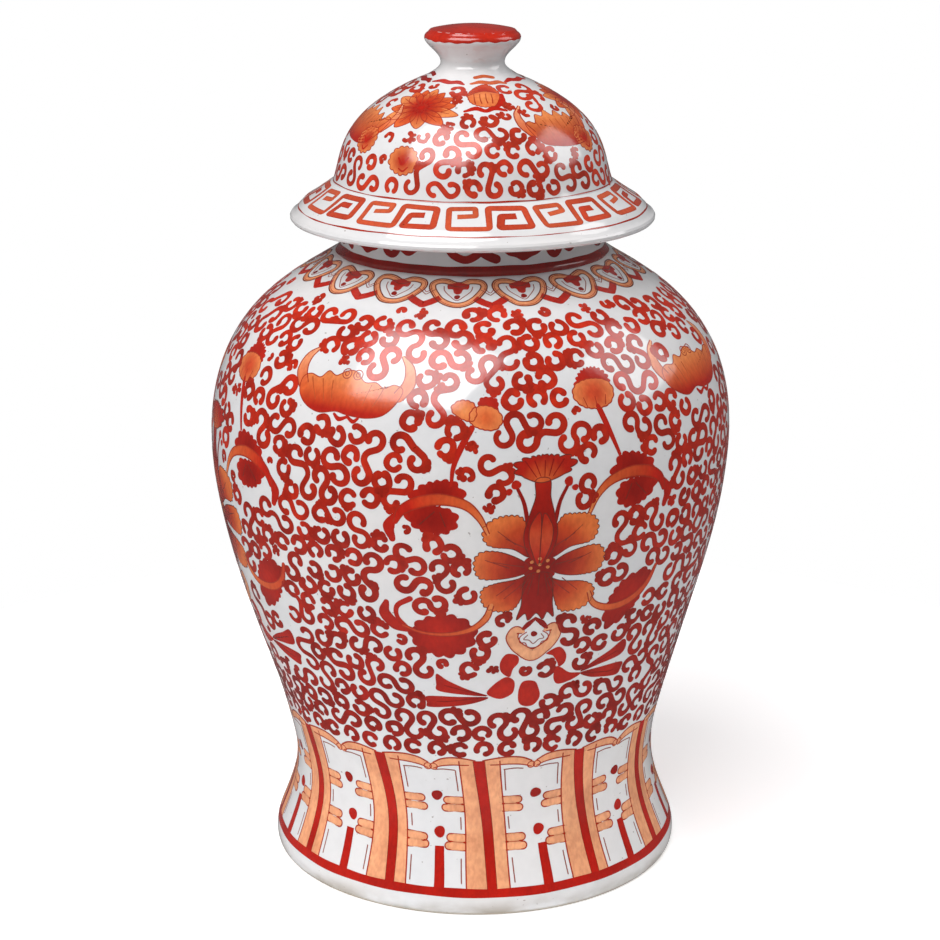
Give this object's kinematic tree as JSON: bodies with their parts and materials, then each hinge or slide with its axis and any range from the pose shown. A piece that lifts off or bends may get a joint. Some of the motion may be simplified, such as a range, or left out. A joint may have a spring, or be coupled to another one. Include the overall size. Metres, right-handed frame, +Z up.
{
  "type": "ginger jar",
  "caption": "Baluster porcelain ginger jar with flared foot, brimmed dome lid and button knob, painted with iron-red scrolls, lotus and bats; holds dry goods or stands as decoration.",
  "frame": {"origin": "centre of the foot, on the surface the jar stands on", "axes": "+Z up along the axis the jar and lid were thrown on; +X and +Y level, with the front of the painting towards -Y"},
  "size_m": [0.2844, 0.2844, 0.46],
  "materials": {
    "glazed_porcelain": "glossy",
    "bare_porcelain": "matte",
    "iron_red_enamel": "glossy"
  },
  "bodies": {
    "jar": {"foot": "glazed_porcelain", "lower_body": "glazed_porcelain", "shoulder": "glazed_porcelain", "neck": "glazed_porcelain"},
    "lid": {"lid_dome": "glazed_porcelain", "lid_flange": "bare_porcelain", "lid_knob": "iron_red_enamel"}
  },
  "joints": [
    {"name": "lid_lift", "type": "slide", "parent": "jar", "child": "lid", "axis": [0, 0, 1], "range_m": [0, 0.12]}
  ]
}
